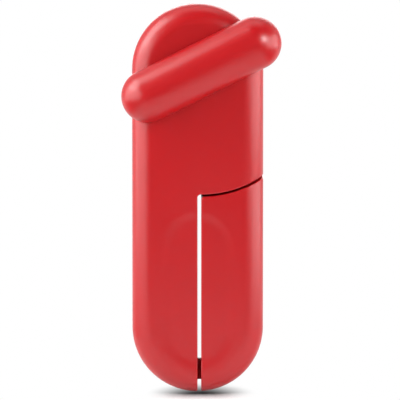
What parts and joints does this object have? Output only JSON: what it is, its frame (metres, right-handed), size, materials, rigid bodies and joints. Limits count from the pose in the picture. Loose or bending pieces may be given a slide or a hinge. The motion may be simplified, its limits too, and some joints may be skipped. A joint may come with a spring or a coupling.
{
  "type": "manual can opener",
  "caption": "Handheld manual can opener: stadium-shaped body, swinging handle with a latch, large turning knob, toothed feed wheel, cutting wheel and lid magnet.",
  "frame": {"origin": "centre of the feed wheel, on the axis that the knob turns", "axes": "+Z along the handles towards the head, -Y out of the front face towards the knob, +Y towards the can, +X towards the swinging handle"},
  "size_m": [0.0774, 0.0668, 0.19],
  "materials": {
    "red_plastic": "satin injection-moulded plastic",
    "steel": "stamped steel, lightly brushed",
    "hard_steel": "hardened steel, ground",
    "zinc": "die-cast zinc alloy, as cast",
    "plated_steel": "zinc-plated screws and pins",
    "nickel": "nickel-plated magnet",
    "acetal": "natural acetal bearing"
  },
  "bodies": {
    "body": {"body_front_shell": "red_plastic", "body_rear_shell": "red_plastic", "body_screws": "plated_steel", "eccentric_hub": "zinc", "hub_cap": "zinc", "hub_screws": "plated_steel", "front_bush": "acetal", "magnet_arm": "red_plastic", "magnet_screw": "plated_steel", "lid_magnet": "nickel", "catch_spring": "steel"},
    "drive": {"knob": "red_plastic", "knob_base": "red_plastic", "knob_pin": "plated_steel", "drive_shaft": "steel", "thrust_washer": "steel", "feed_wheel": "hard_steel", "feed_screw": "plated_steel"},
    "lever": {"lever_front_shell": "red_plastic", "lever_rear_shell": "red_plastic", "lever_screws": "plated_steel", "lever_arm": "steel", "latch_tongue": "red_plastic", "cutter_stud": "steel", "cutter_washer": "plated_steel", "cutter_screw": "plated_steel"},
    "cutter": {"cutting_wheel": "hard_steel"}
  },
  "joints": [
    {"name": "knob_turn", "type": "hinge", "parent": "body", "child": "drive", "pos_m": [0, 0, 0], "axis": [0, 1, 0], "continuous": true},
    {"name": "lever_swing", "type": "hinge", "parent": "body", "child": "lever", "pos_m": [0, 0, -0.0075], "axis": [0, -1, 0], "range_deg": [0, 30], "deforming": ["catch_spring"]},
    {"name": "cutter_spin", "type": "hinge", "parent": "lever", "child": "cutter", "pos_m": [-0.0184, 0, 0], "axis": [0, 1, 0], "continuous": true}
  ]
}
